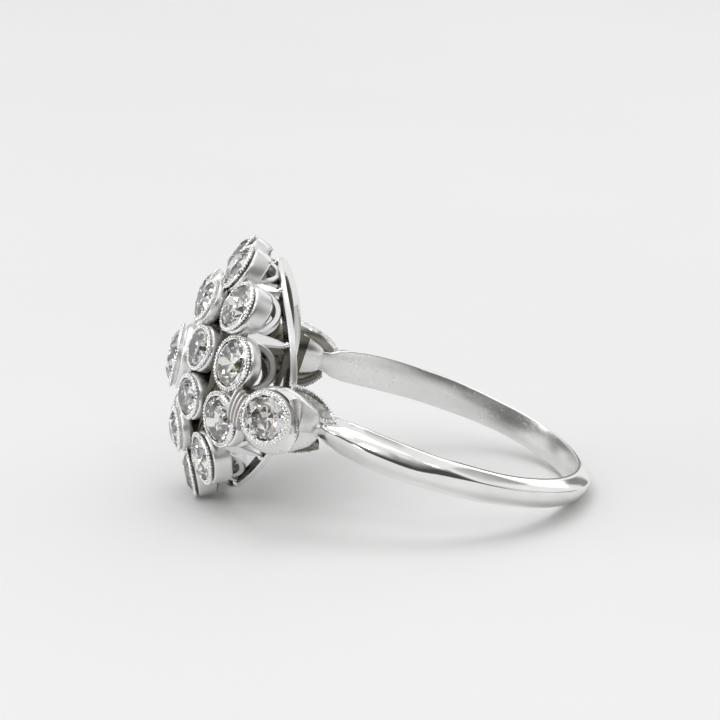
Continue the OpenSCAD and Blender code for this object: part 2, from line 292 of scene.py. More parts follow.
# Shank
# Forged half-round wire, finest at the back. Towards the shoulders it is deeper and filed to two
# soft creases with a flat between them. Each end curves away from the finger to a point and is
# soldered to its shoulder. The inside is worn to a soft sheen.
def along_table(pairs, value):
    """A value between the pairs of a table, eased from each pair to the next."""
    if value <= pairs[0][0]:
        return pairs[0][1]
    for (a, low), (b, high) in zip(pairs, pairs[1:]):
        if value <= b:
            share = (value - a) / (b - a)
            share = share * share * (3 - 2 * share)
            return low + (high - low) * share
    return pairs[-1][1]


def new_object(name, mesh):
    thing = bpy.data.objects.new(name, mesh)
    bpy.context.scene.collection.objects.link(thing)
    return thing


def weld(mesh, distance):
    """Joins the points that meet and turns the faces outwards."""
    form = bmesh.new()
    form.from_mesh(mesh)
    bmesh.ops.remove_doubles(form, verts=form.verts, dist=distance)
    bmesh.ops.recalc_face_normals(form, faces=form.faces)
    form.to_mesh(mesh)
    form.free()


def mesh_from(name, points, faces, place=None, sharp=38.0):
    """A mesh that is laid at its place, in metres, or else a pattern in millimetres."""
    mesh = bpy.data.meshes.new(name)
    mesh.from_pydata([place @ Vector(p) if place else Vector(p) for p in points], [], faces)
    weld(mesh, 1e-7 if place else 1e-5)
    mesh.shade_smooth()
    mesh.set_sharp_from_angle(angle=math.radians(sharp))
    return mesh


def loft(rows, joined=False):
    """A skin over rows of points, capped at both ends or joined into a ring."""
    count = len(rows[0])
    points = [p for row in rows for p in row]
    faces = []
    for i in range(len(rows) if joined else len(rows) - 1):
        here, after = i * count, (i + 1) % len(rows) * count
        for j in range(count):
            k = (j + 1) % count
            faces.append((here + j, here + k, after + k, after + j))
    if not joined:
        faces.append(tuple(range(count)))
        faces.append(tuple((len(rows) - 1) * count + j for j in range(count)))
    return points, faces


def metal_piece(name, mesh, material, *nodes_replaced):
    """One piece of the mount. Without a material it keeps those that its mesh has."""
    if material:
        mesh.materials.clear()
        mesh.materials.append(material)
    piece = new_object(name, mesh)
    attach(piece, "root")
    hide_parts(*nodes_replaced)


shank_shift, shank_deep = 0.289, 0.95
shank_r = finger_r + shank_deep + shank_shift
# Each pair holds the degrees from the middle of the head and the value there
shank_half_w = [
    (44, 0.36), (50, 0.58), (54, 0.80), (60, 0.93), (67, 0.98),
    (76, 0.985), (95, 0.93), (125, 0.82), (180, 0.79),
]
upper_crease_out = [(44, 0.93), (60, 0.89), (72, 0.83), (84, 0.82), (95, 0.88), (107, 0.95), (180, 0.95)]
upper_crease_up = [(44, 0.52), (60, 0.58), (72, 0.66), (84, 0.72), (95, 0.74), (107, 0.56), (180, 0.50)]
lower_crease_up = [(44, 0.30), (60, 0.28), (72, 0.16), (84, 0.12), (95, 0.26), (107, 0.44), (180, 0.30)]
belly = [(44, 1.35), (60, 1.45), (84, 1.75), (110, 2.0), (180, 2.1)]
shank_edge = 0.06
shank_start, shank_steps = 46, 240
shank_arc = 360 - 2 * shank_start
inside_curves_from, inside_curve = 55, 0.011
outside_tapers_from, outside_taper = 56, 0.03


def finger_side(from_head):
    """How far the shank's inside is from the finger's axis: its ends curve away."""
    return finger_r + inside_curve * max(0.0, inside_curves_from - from_head) ** 2


def shank_section(degrees):
    from_head = min(degrees, 360 - degrees)
    turn = math.radians(degrees)
    half = along_table(shank_half_w, from_head)
    outside = shank_shift * math.cos(turn) + math.sqrt(shank_r**2 - (shank_shift * math.sin(turn)) ** 2)
    outside -= outside_taper * max(0.0, outside_tapers_from - from_head)
    inside = finger_side(from_head)
    deep = outside - inside
    upper_out = inside + deep * along_table(upper_crease_out, from_head)
    upper_up = half * along_table(upper_crease_up, from_head)
    lower_up = half * along_table(lower_crease_up, from_head)
    points = [(inside + shank_edge * 0.3, -half + shank_edge * 0.3), (inside, -half + shank_edge)]
    points += [(inside, half - shank_edge), (inside + shank_edge * 0.3, half - shank_edge * 0.3)]
    top_out = inside + shank_edge
    for share in (0.0, 0.25, 0.5, 0.75, 0.96):
        crown = 0.05 * math.sin(math.pi * share) * deep
        out = top_out + (upper_out - top_out) * share + crown
        points.append((out, half + (upper_up - half) * share + crown * 0.5))
    for share in (0.05, 0.35, 0.65, 0.95):
        crown = 0.015 * math.sin(math.pi * share)
        out = upper_out + (outside - upper_out) * share + crown
        points.append((out, upper_up + (lower_up - upper_up) * share))
    power = 2 / along_table(belly, from_head)
    for j in range(1, 17):
        swing = math.pi / 2 * j / 16
        out = math.cos(swing) ** power if j < 16 else 0.0
        down = math.sin(swing) ** power
        points.append((top_out + (outside - top_out) * out, lower_up - (lower_up + half) * down))
    return [(-r * math.cos(turn), -r * math.sin(turn), z) for r, z in points]


shank_rows = [shank_section(shank_start + i * shank_arc / shank_steps) for i in range(shank_steps + 1)]
mesh = mesh_from("shank", *loft(shank_rows), laid, sharp=50)
metal_piece("shank", mesh, polished, "ring_mount")
mesh.materials.append(softened)
to_ring = laid.inverted()
for polygon in mesh.polygons:
    spot = to_ring @ polygon.center
    from_head = math.degrees(math.atan2(abs(spot.y), -spot.x))
    if math.hypot(spot.x, spot.y) < finger_side(from_head) + 0.02:
        polygon.material_index = 1

# Shoulders
# A turned collet for one stone, its back drawn out to a blunt tip and filed to one flat facet. It
# is one casting with a root that reaches the rail. A groove runs behind the milled rim, painted grey as
# shade.
# p is the way from the finger's axis towards the head, and q the way out to the side
shoulder_p, shoulder_q = 8.75, 8.45
shoulder_lean = 62
face_p, face_q = math.cos(math.radians(shoulder_lean)), math.sin(math.radians(shoulder_lean))
shade_inside_from = 6.8
ring_steps = 64
# The rounds of the front, each a radius and a height over the stone's girdle
cavity = [
    (0.02, -1.25), (0.45, -1.25), (1.16, -0.16), (1.265, -0.07), (1.265, 0.03), (1.19, 0.10), (1.18, 0.15),
]
rim = [(1.215, 0.19), (1.29, 0.20), (1.37, 0.17), (1.43, 0.09), (1.48, 0.0), (1.53, -0.14)]
rim_drop = [0.0, 0.0, 0.0, -0.02, -0.05, -0.10]
groove_start, groove_end, groove_deep = 10, 37, 0.24
facet_start, facet_end = 21, 32
# The rounds behind it: p, q, radius, degrees, shift along the finger, and how square
back = [
    (8.62, 8.20, 1.66, 62, -0.17, 2.0), (8.47, 7.98, 1.74, 58, -0.18, 2.0),
    (8.28, 7.80, 1.78, 50, -0.16, 2.0), (8.04, 7.67, 1.76, 40, -0.12, 2.05),
    (7.76, 7.58, 1.69, 29, -0.09, 2.15), (7.46, 7.53, 1.60, 18, -0.07, 2.3),
    (7.18, 7.50, 1.50, 9, -0.06, 2.4), (6.90, 7.50, 1.38, 2, -0.05, 2.5),
    (6.62, 7.50, 1.24, -3, -0.04, 2.5), (6.37, 7.50, 1.10, -6, -0.04, 2.5),
    (6.15, 7.50, 0.95, -8, -0.04, 2.4), (5.98, 7.50, 0.77, -9, -0.04, 2.3),
    (5.86, 7.50, 0.54, -9, -0.04, 2.1), (5.81, 7.50, 0.16, -9, -0.04, 2.0),
]
# The rounds of the root: p, q, radius and degrees
root = [
    (8.25, 7.35, 0.95, 20), (8.12, 6.90, 0.78, 50), (8.02, 6.40, 0.62, 75), (7.98, 5.95, 0.52, 88),
    (7.97, 5.55, 0.46, 90),
]


def ring_points(side, p, q, radius, degrees, n=0.0, square=2.0, filed=0.0):
    """A round of the shoulder: its axis lies in the ring's plane, at an angle from the head."""
    turn = math.radians(degrees)
    across = (math.sin(turn), -math.cos(turn))
    facet_half = math.pi * (facet_end - facet_start) / ring_steps
    facet_way = math.pi * (facet_end + facet_start) / ring_steps
    points = []
    for i in range(ring_steps):
        a = 2 * math.pi * i / ring_steps
        r = radius / (abs(math.cos(a)) ** square + abs(math.sin(a)) ** square) ** (1 / square)
        if facet_start <= i <= facet_end:
            r *= 1 + filed * (math.cos(facet_half) / math.cos(a - facet_way) - 1)
        out = r * math.cos(a)
        points.append((-(p + out * across[0]), side * (q + out * across[1]), n + r * math.sin(a)))
    return points


def front_ring(side, r, z, drop=0.0):
    """A round of the collet's front, at a height over the stone's girdle."""
    return ring_points(side, shoulder_p + z * face_p, shoulder_q + z * face_q, r, shoulder_lean, drop)


for side, where in ((-1, "near"), (1, "far")):
    rows = []
    for (r, z), drop in zip(cavity + rim, [0.0] * len(cavity) + rim_drop):
        rows.append(front_ring(side, r, z, drop))
    behind_rim = len(rows)
    for i in range(groove_start, groove_end):
        deep = groove_deep * math.sin(math.pi * (i - groove_start) / (groove_end - groove_start))
        x, y, z = rows[-1][i]
        rows[-1][i] = (x + deep * face_p, y - side * deep * face_q, z)
    for i, (p, q, r, degrees, n, square) in enumerate(back):
        rows.append(ring_points(side, p, q, r, degrees, n, square, min(1.0, 0.7 + 0.3 * i)))
    mesh = mesh_from(f"shoulder_{where}", *loft(rows), laid, sharp=50)
    for edge in mesh.edges:
        one, other = sorted(edge.vertices)
        along_back = other - one == ring_steps and one > behind_rim * ring_steps
        if along_back and one % ring_steps in (facet_start, facet_end):
            edge.use_edge_sharp = True
    metal_piece(f"shoulder_{where}", mesh, softened, "ring_mount")
    mesh.materials.append(cast)
    mesh.materials.append(dulled)
    # Painted shade: the back's faces turned in towards the ring's middle are near black, and the groove
    # behind the rim is grey.
    for polygon in mesh.polygons:
        spot, way_out = to_ring @ polygon.center, to_ring.to_3x3() @ polygon.normal
        rows_in = {corner // ring_steps for corner in polygon.vertices}
        column = min(corner % ring_steps for corner in polygon.vertices)
        inwards = side * way_out.y < -0.55 * way_out.length
        in_groove = rows_in <= set(range(behind_rim - 2, behind_rim + 1))
        if inwards and -spot.x > shade_inside_from and min(rows_in) >= behind_rim:
            polygon.material_index = 1
        elif in_groove and groove_start + 2 < column < groove_end - 7:
            polygon.material_index = 2
    # The root, down between shoulder and rail, is painted dark as shade.
    rows = [ring_points(side, p, q, r, degrees) for p, q, r, degrees in root]
    mesh = mesh_from(f"shoulder_root_{where}", *loft(rows), laid, sharp=60)
    metal_piece(f"shoulder_root_{where}", mesh, cast, "ring_mount")


# Shoulder rims
# The rim round each shoulder stone is milled into a row of fine beads. Inside them, larger grains
# are pushed up from the same metal over the edge of the stone, and hold it.
def plain_mesh(name, thing):
    """The mesh that an object comes to with its modifier or curve worked out. The object goes."""
    bpy.context.view_layer.update()
    mesh = bpy.data.meshes.new_from_object(thing.evaluated_get(bpy.context.evaluated_depsgraph_get()))
    mesh.name = name
    bpy.data.objects.remove(thing)
    return mesh


def new_tree(name, inputs):
    """A tree and its two ends. Each input is a name, a kind of socket and a first value or None."""
    tree = bpy.data.node_groups.new(name, "GeometryNodeTree")
    tree.interface.new_socket("Geometry", in_out="INPUT", socket_type="NodeSocketGeometry")
    for label, kind, value in inputs:
        socket = tree.interface.new_socket(label, in_out="INPUT", socket_type="NodeSocket" + kind)
        if value is not None:
            socket.default_value = value
    tree.interface.new_socket("Geometry", in_out="OUTPUT", socket_type="NodeSocketGeometry")
    return tree, tree.nodes.new("NodeGroupInput"), tree.nodes.new("NodeGroupOutput")


def grown(name, carrier, tree, values):
    """The plain mesh that a tree makes on a carrier mesh, with its inputs set by identifier."""
    holder = new_object(name + "_carrier", carrier)
    modifier = holder.modifiers.new("grow", "NODES")
    modifier.node_group = tree
    keys = {item.name: item.identifier for item in tree.interface.items_tree if item.in_out == "INPUT"}
    for key, value in values.items():
        modifier[keys[key]] = value
    mesh = plain_mesh(name, holder)
    for attribute in ("turn", "size", "finish"):
        if attribute in mesh.attributes:
            mesh.attributes.remove(mesh.attributes[attribute])
    return mesh


def bead_tree():
    """Beads of uneven size at even steps along a line of edges."""
    sizes = [("Bead radius", "Float", 0.00006), ("Bead spacing", "Float", 0.00014)]
    others = [("Unevenness", "Float", 0.15), ("Metal", "Material", None)]
    tree, start, end = new_tree("milled_beads", sizes + others)
    add, join = tree.nodes.new, tree.links.new
    line, spaced = add("GeometryNodeMeshToCurve"), add("GeometryNodeResampleCurve")
    spaced.mode = "LENGTH"
    bead, setter = add("GeometryNodeMeshIcoSphere"), add("GeometryNodeInstanceOnPoints")
    bead.inputs["Subdivisions"].default_value = 1
    least, most, spread = add("ShaderNodeMath"), add("ShaderNodeMath"), add("FunctionNodeRandomValue")
    least.operation, most.operation = "SUBTRACT", "ADD"
    least.inputs[0].default_value = most.inputs[0].default_value = 1.0
    spread.inputs["Seed"].default_value = 7
    smooth = add("GeometryNodeSetShadeSmooth")
    real, coat = add("GeometryNodeRealizeInstances"), add("GeometryNodeSetMaterial")
    join(start.outputs["Geometry"], line.inputs["Mesh"])
    join(line.outputs["Curve"], spaced.inputs["Curve"])
    join(start.outputs["Bead spacing"], spaced.inputs["Length"])
    join(start.outputs["Bead radius"], bead.inputs["Radius"])
    join(start.outputs["Unevenness"], least.inputs[1])
    join(start.outputs["Unevenness"], most.inputs[1])
    join(least.outputs[0], spread.inputs[2])
    join(most.outputs[0], spread.inputs[3])
    join(spaced.outputs["Curve"], setter.inputs["Points"])
    join(bead.outputs["Mesh"], setter.inputs["Instance"])
    join(spread.outputs[1], setter.inputs["Scale"])
    join(setter.outputs["Instances"], real.inputs["Geometry"])
    join(real.outputs["Geometry"], smooth.inputs["Geometry"])
    join(smooth.outputs["Geometry"], coat.inputs["Geometry"])
    join(start.outputs["Metal"], coat.inputs["Material"])
    join(coat.outputs["Geometry"], end.inputs["Geometry"])
    return tree


beads_tree = bead_tree()


def milled(name, lines, radius, spacing, material, uneven):
    """Sets beads along lines of points that are already laid, in metres."""
    points, edges = [], []
    for line in lines:
        first = len(points)
        points += line
        edges += [(first + i, first + i + 1) for i in range(len(line) - 1)]
        edges.append((first + len(line) - 1, first))
    carrier = bpy.data.meshes.new(name)
    carrier.from_pydata(points, edges, [])
    sizes = {"Bead radius": radius * MM, "Bead spacing": spacing * MM}
    mesh = grown(name, carrier, beads_tree, {**sizes, "Unevenness": uneven, "Metal": material})
    metal_piece(name, mesh, material, "ring_mount")


for name, radius, height, bead_r, spacing, uneven in (
    ("shoulder_beads", 1.40, 0.16, 0.085, 0.19, 0.2),
    ("shoulder_grains", 1.24, 0.16, 0.125, 0.29, 0.5),
):
    lines = [[laid @ Vector(p) for p in front_ring(side, radius, height)] for side in (-1, 1)]
    milled(name, lines, bead_r, spacing, polished, uneven)


# Straps
# A bowed strap joins each shoulder collet to the two collets of the cluster beside it. Its front is
# filed into four upright reeds, grey painted shade with a painted highlight line down each, and the rest is
# painted dark as shade.
def setting_tree():
    """One pattern set on points that carry its turn and its size."""
    metals = ("Metal", "Side metal", "Inner metal")
    inputs = [("Pattern", "Object", None)] + [(label, "Material", None) for label in metals]
    tree, start, end = new_tree("pattern_on_points", inputs + [("Size factor", "Float", 1.0)])
    add, join = tree.nodes.new, tree.links.new
    turn, size = add("GeometryNodeInputNamedAttribute"), add("GeometryNodeInputNamedAttribute")
    turn.data_type, size.data_type = "QUATERNION", "FLOAT_VECTOR"
    turn.inputs["Name"].default_value, size.inputs["Name"].default_value = "turn", "size"
    scaled = add("ShaderNodeVectorMath")
    scaled.operation = "SCALE"
    pattern, setter = add("GeometryNodeObjectInfo"), add("GeometryNodeInstanceOnPoints")
    real = add("GeometryNodeRealizeInstances")
    mark = add("GeometryNodeInputNamedAttribute")
    mark.data_type = "FLOAT"
    mark.inputs["Name"].default_value = "finish"
    join(start.outputs["Pattern"], pattern.inputs["Object"])
    join(size.outputs["Attribute"], scaled.inputs[0])
    join(start.outputs["Size factor"], scaled.inputs["Scale"])
    join(start.outputs["Geometry"], setter.inputs["Points"])
    join(pattern.outputs["Geometry"], setter.inputs["Instance"])
    join(turn.outputs["Attribute"], setter.inputs["Rotation"])
    join(scaled.outputs[0], setter.inputs["Scale"])
    join(setter.outputs["Instances"], real.inputs["Geometry"])
    last = real
    for level, label in enumerate(metals):
        coat = add("GeometryNodeSetMaterial")
        join(last.outputs["Geometry"], coat.inputs["Geometry"])
        join(start.outputs[label], coat.inputs["Material"])
        if level:
            chosen = add("FunctionNodeCompare")
            chosen.data_type, chosen.operation = "FLOAT", "GREATER_THAN"
            chosen.inputs[1].default_value = level - 0.5
            join(mark.outputs["Attribute"], chosen.inputs[0])
            join(chosen.outputs[0], coat.inputs["Selection"])
        last = coat
    join(last.outputs["Geometry"], end.inputs["Geometry"])
    return tree


pattern_tree = setting_tree()


def finished(pattern, choose):
    """Marks each face of a pattern: 0 has the piece's own metal, 1 is satin and 2 is dark painted shade."""
    marks = [float(choose(face.center, face.normal)) for face in pattern.polygons]
    pattern.attributes.new("finish", "FLOAT", "FACE")
    pattern.attributes["finish"].data.foreach_set("value", marks)
    return pattern


def set_out(name, pattern, places, material):
    """Sets a pattern, drawn in millimetres, at each place and makes it one piece."""
    carrier = bpy.data.meshes.new(name)
    spots = [place.decompose() for place in places]
    carrier.from_pydata([spot[0] for spot in spots], [], [])
    carrier.attributes.new("turn", "QUATERNION", "POINT")
    carrier.attributes.new("size", "FLOAT_VECTOR", "POINT")
    for i, (_, turn, size) in enumerate(spots):
        carrier.attributes["turn"].data[i].value = turn
        carrier.attributes["size"].data[i].vector = size
    form = new_object(name + "_pattern", pattern)
    # The third metal is the dark one for painted shade.
    metals = {"Metal": material, "Side metal": satin, "Inner metal": cast}
    mesh = grown(name, carrier, pattern_tree, {"Pattern": form, **metals, "Size factor": 1.0})
    bpy.data.objects.remove(form)
    metal_piece(name, mesh, None, "ring_mount")


def turns(steps):
    """Angles at even steps round a circle."""
    return [2 * math.pi * i / steps for i in range(steps)]


reed_count, reed_drop, reed_half_l, reed_bow = 4, 0.3, 0.95, 0.16
# Each pair holds a height on the reed and the radius there
reed_profile = [
    (-0.95, 0.04), (-0.93, 0.11), (-0.87, 0.16), (-0.76, 0.18), (-0.5, 0.19), (-0.25, 0.19),
    (0.0, 0.19), (0.25, 0.19), (0.5, 0.19), (0.76, 0.18), (0.87, 0.16), (0.93, 0.11), (0.95, 0.04),
]
strap_start, strap_end = (10.36, 6.50), (9.84, 7.84)
strap_outline = [(10.2, 5.8), (10.22, 6.46), (9.72, 7.80), (9.2, 7.7), (8.9, 6.6), (9.4, 5.7)]
# Each pair holds a height and the share by which the outline draws in there
strap_levels = [
    (-1.16, 0.14), (-1.10, 0.04), (-0.99, 0.0), (-0.76, 0.0), (-0.53, 0.0), (-0.30, 0.0),
    (-0.06, 0.0), (0.17, 0.0), (0.40, 0.0), (0.51, 0.04), (0.57, 0.14),
]
strap_front_from = 9.5


def bow(z):
    """How far a strap stands out at a height over its middle."""
    return reed_bow * max(0.0, 1 - (z / reed_half_l) ** 2)


# Paints a highlight line: the faces of a reed that turn straight out get the lighter satin metal.
def painted_highlight_line(spot, way_out):
    return 1 if way_out.x < -0.8 else 0


reed_rows = [[(r * math.cos(a) - bow(z), r * math.sin(a), z) for a in turns(16)] for z, r in reed_profile]
reed_mesh = finished(mesh_from("reed", *loft(reed_rows), sharp=60), painted_highlight_line)
reed_places = []
for side in (-1, 1):
    for i in range(reed_count):
        share = i / (reed_count - 1)
        p = strap_start[0] + (strap_end[0] - strap_start[0]) * share
        q = strap_start[1] + (strap_end[1] - strap_start[1]) * share
        reed_places.append(laid @ Matrix.Translation((-p, side * q, -reed_drop)))
# The reeds are coloured grey as painted shade.
set_out("strap_reeds", reed_mesh, reed_places, dulled)

middle_p, middle_q = [sum(values) / len(strap_outline) for values in zip(*strap_outline)]
# The strap's body behind the reeds is painted dark as shade.
for side, where in ((-1, "near"), (1, "far")):
    rows = []
    for z, inset in strap_levels:
        row = []
        for p, q in strap_outline:
            bowed = bow(z + reed_drop) if p > strap_front_from else 0.0
            row.append((-(p + (middle_p - p) * inset + bowed), side * (q + (middle_q - q) * inset), z))
        rows.append(row)
    metal_piece(f"strap_{where}", mesh_from(f"strap_{where}", *loft(rows), laid), cast, "ring_mount")

# Leaves
# Each shoulder has a pointed leaf above and one below, cast with it. The leaf is a shallow dish
# with a raised edge that is milled with beads. The upper ones have a bright edge, a grained floor
# and a back painted grey as shade. The lower ones are painted shade: grey edge and beads, dark floor and
# back.
leaf_arc_r, leaf_half_w = 2.1, 0.66
leaf_offset = leaf_arc_r - leaf_half_w
leaf_half_l = math.sqrt(leaf_arc_r**2 - leaf_offset**2)
leaf_r = 9.81
leaf_angles = {"upper": 47.3, "lower": 44.2}
leaf_heights = {"upper": 0.97, "lower": -1.28}
leaf_turn, leaf_slope, leaf_roll = 12.0, 20.0, 32.0
# Each pair holds the share of the leaf's outline and the height there, from floor to back
leaf_levels = [
    (0.0, 0.10), (0.35, 0.11), (0.62, 0.14), (0.74, 0.19), (0.80, 0.26), (0.88, 0.30),
    (0.96, 0.28), (1.0, 0.20), (1.0, 0.05), (0.92, -0.18), (0.76, -0.30), (0.0, -0.36),
]
leaf_floor, lower_leaf_shade_within = 0.86, 0.9
leaf_bead_out, leaf_bead_up, leaf_bead_r, leaf_bead_spacing = 0.92, 0.30, 0.078, 0.165
# Painted shade: grey on the lower leaves' edges and beads and the upper backs, dark on the lower floors and
# backs.
leaf_edge_metal = {"upper": polished, "lower": dulled}
leaf_back_shade = {"upper": dulled, "lower": cast}


def leaf_outline(grow, steps=22):
    """Points round a leaf in its own plane, half of them on each of its two arcs."""
    reach = math.asin(leaf_half_l / leaf_arc_r)
    half = [reach - 2 * reach * i / steps for i in range(steps)]
    side_one = [((leaf_arc_r * math.cos(a) - leaf_offset), leaf_arc_r * math.sin(a)) for a in half]
    points = side_one + [(-x, -y) for x, y in side_one]
    return [(x * grow, y * (1 - (1 - grow) * 0.45)) for x, y in points]


leaf_lines = {"upper": [], "lower": []}
for side, where in ((-1, "near"), (1, "far")):
    for up, level in ((1, "upper"), (-1, "lower")):
        angle = math.radians(leaf_angles[level])
        spot = (-leaf_r * math.cos(angle), side * leaf_r * math.sin(angle), leaf_heights[level])
        place = (
            laid
            @ Matrix.Translation(spot)
            @ Matrix.Rotation(side * math.radians(leaf_turn), 4, "Z")
            @ Matrix.Rotation(math.radians(up * leaf_slope), 4, "Y")
            @ Matrix.Rotation(math.radians(side * up * -leaf_roll), 4, "X")
        )
        rows = [[(y, x, up * z) for x, y in leaf_outline(grow)] for grow, z in leaf_levels]
        name = f"leaf_{level}_{where}"
        mesh = mesh_from(name, *loft(rows), place, sharp=45)
        metal_piece(name, mesh, leaf_edge_metal[level], "ring_mount")
        mesh.materials.append(grained)
        mesh.materials.append(leaf_back_shade[level])
        to_leaf = place.inverted()
        for polygon in mesh.polygons:
            spot = to_leaf @ polygon.center
            outwards = (math.hypot(abs(spot.y) + leaf_offset, spot.x) - leaf_offset) / leaf_half_w
            # Leaf backs, and the floors of the lower leaves, get the painted shade metal.
            if up * spot.z < 0.0 or (level == "lower" and outwards < lower_leaf_shade_within):
                polygon.material_index = 2
            elif outwards < leaf_floor:
                polygon.material_index = 1
        bead_line = leaf_outline(leaf_bead_out, 40)
        leaf_lines[level].append([place @ Vector((y, x, up * leaf_bead_up)) for x, y in bead_line])
for level, lines in leaf_lines.items():
    milled(f"leaf_beads_{level}", lines, leaf_bead_r, leaf_bead_spacing, leaf_edge_metal[level], 0.2)

# Rail
# A flat strip of wire, bent to an oval round the cluster and then to the curve of the finger.
# Its outside is brushed and its edges are polished; its inside and its top under the collets are painted
# dark as shade.
rail_r, rail_t = 9.4, 0.4
rail_reach, rail_half_w, rail_strip = 6.35, 5.95, 0.65
# Each corner of the strip: how far in from its outside, and how far over the finger
rail_section = [
    (0.0, 0.10), (0.0, 0.30), (0.05, 0.35), (0.55, 0.35),
    (0.60, 0.30), (0.60, 0.10), (0.55, 0.05), (0.05, 0.05),
]
rows = []
for a in turns(180):
    row = []
    for inset, depth in rail_section:
        q = (rail_half_w - inset) * math.cos(a)
        z = (rail_reach - inset) * math.sin(a)
        row.append((-math.sqrt((rail_r + depth) ** 2 - q * q), q, z))
    rows.append(row)
mesh = mesh_from("rail", *loft(rows, joined=True), leaned, sharp=30)
metal_piece("rail", mesh, polished, "ring_mount")
mesh.materials.append(satin)
mesh.materials.append(cast)
to_cluster = leaned.inverted()
# Painted shade on the faces turned in towards the cluster's axis or up under the collets.
for polygon in mesh.polygons:
    spot, way_out = to_cluster @ polygon.center, (to_cluster.to_3x3() @ polygon.normal).normalized()
    outwards = (way_out.y * spot.y + way_out.z * spot.z) / math.hypot(spot.y, spot.z)
    if outwards > 0.8:
        polygon.material_index = 1
    elif outwards < -0.75 or way_out.x < -0.75:
        polygon.material_index = 2

# Gallery
# Half hoops of flat wire under the outer collets, brushed outside and painted dark as shade inside.
# Between each two, a flat gusset, coloured the same, stands on the rail, fixed there with a dot of solder.
outer_count = 12
outer_end_width, outer_side_width = 2.35, 2.6
outer_end_p, outer_side_p = 11.8, 10.95
hoop_r, hoop_wire, hoop_bulge = 1.24, 0.34, 1.12
hoop_inner_r = hoop_r - hoop_wire
hoop_half_w, hoop_reach, hoop_drop = 5.2, 5.85, 0.95
hoop_steps = 32
hoop_section = [
    (hoop_inner_r, -0.25), (hoop_inner_r, 0.25), (hoop_inner_r + 0.06, 0.31), (hoop_r - 0.06, 0.31),
    (hoop_r, 0.25), (hoop_r, -0.25), (hoop_r - 0.06, -0.31), (hoop_inner_r + 0.06, -0.31),
]
gusset_half_w, gusset_reach, gusset_drop = 5.3, 5.95, 0.65
foot_r = rail_r + rail_t * 0.6
# Each pair holds the share of the way down and half the width there
gusset_widths = [(0.0, 0.46), (0.12, 0.38), (0.3, 0.31), (0.5, 0.26), (0.7, 0.20), (0.86, 0.13), (1.0, 0.11)]
dot_r, dot_out, dot_back = 0.17, 0.22, 0.12
dot_profile = [
    (-1.0, 0.02), (-0.9, 0.44), (-0.6, 0.8), (-0.2, 0.98), (0.2, 0.98), (0.6, 0.8), (0.9, 0.44), (1.0, 0.02),
]


def outer_angle(k):
    return math.radians((k - 0.5) * 360 / outer_count)


def by_side(end_value, side_value, angle):
    """A value that changes round a row, from its ends to its sides."""
    return end_value + (side_value - end_value) * math.cos(angle) ** 2


def outer_height(angle):
    return by_side(outer_end_p, outer_side_p, angle)


def outer_width(angle):
    return by_side(outer_end_width, outer_side_width, angle)


def in_row(half_w, reach, angle, p):
    """The cluster's frame at a place in a row: +X to the finger, +Y outwards."""
    turn = math.atan2(math.sin(angle) / reach, math.cos(angle) / half_w)
    spot = (-p, half_w * math.cos(angle), reach * math.sin(angle))
    return Matrix.Translation(spot) @ Matrix.Rotation(turn, 4, "X")


# Paints shade: faces turned in towards the cluster's axis get the dark metal, the others satin.
def painted_shade_inside(spot, way_out):
    return 2 if way_out.y < -0.5 else 1


rows = []
for i in range(hoop_steps + 1):
    a = -math.pi / 2 + math.pi * i / hoop_steps
    rows.append([(r * math.cos(a) * hoop_bulge, y, r * math.sin(a)) for r, y in hoop_section])
hoop_mesh = finished(mesh_from("hoop", *loft(rows), sharp=30), painted_shade_inside)
hoop_places = []
for k in range(1, outer_count + 1):
    angle = outer_angle(k)
    place = leaned @ in_row(hoop_half_w, hoop_reach, angle, outer_height(angle) - hoop_drop)
    hoop_places.append(place @ Matrix.Diagonal((1, 1, outer_width(angle) / outer_end_width, 1)))
set_out("gallery_hoops", hoop_mesh, hoop_places, polished)

rows = []
for share, half in gusset_widths:
    corners = [(half - 0.05, 0.17), (half, 0.12), (half, -0.12), (half - 0.05, -0.17)]
    rows.append([(x, y, share) for x, y in corners + [(-x, y) for x, y in reversed(corners)]])
gusset_mesh = finished(mesh_from("gusset", *loft(rows), sharp=30), painted_shade_inside)
dot_rows = [[(r * math.cos(a), r * math.sin(a), z) for a in turns(14)] for z, r in dot_profile]
dot_mesh = mesh_from("solder_dot", *loft(dot_rows), sharp=80)
gusset_places, dot_places = [], []
for k in range(1, outer_count + 1):
    angle = outer_angle(k) + math.pi / outer_count
    top_p = outer_height(angle) - gusset_drop
    top = Vector((-top_p, gusset_half_w * math.cos(angle), gusset_reach * math.sin(angle)))
    foot_q = (rail_half_w - rail_strip / 2) * math.cos(angle)
    foot_z = (rail_reach - rail_strip / 2) * math.sin(angle)
    foot = Vector((-math.sqrt(foot_r**2 - foot_q**2), foot_q, foot_z))
    run = foot - top
    out = in_row(rail_half_w, rail_reach, angle, 0).to_3x3() @ Vector((0, 1, 0))
    down = run.normalized()
    face_out = (out - out.dot(down) * down).normalized()
    turn = Matrix((face_out.cross(down), face_out, down)).transposed().to_4x4()
    gusset_places.append(leaned @ Matrix.Translation(top) @ turn @ Matrix.Diagonal((1, 1, run.length, 1)))
    dot_spot = foot + dot_out * out - dot_back * down
    dot_places.append(leaned @ Matrix.Translation(dot_spot) @ Matrix.Scale(dot_r, 4))
set_out("gallery_gussets", gusset_mesh, gusset_places, polished)
set_out("solder_dots", dot_mesh, dot_places, polished)

# Gallery plate
# A flat plate that carries the inner rows, pierced behind the centre and each inner stone and painted
# dark as shade. It is drawn flat as an outline with its holes, given its thickness, then stood up.
plate_p, plate_half_w, plate_reach = 11.7, 3.95, 4.75
plate_extrude, plate_edge = 0.19, 0.05
centre_hole_r, inner_hole_r = 0.72, 0.62
inner_half_w, inner_reach = 2.95, 4.1
inner_count = 8
inner_corners = (19.5, 62.5, 117.5, 160.5)


def inner_angle(k):
    return math.radians(inner_corners[(k - 1) % 4] + (180 if k > 4 else 0))


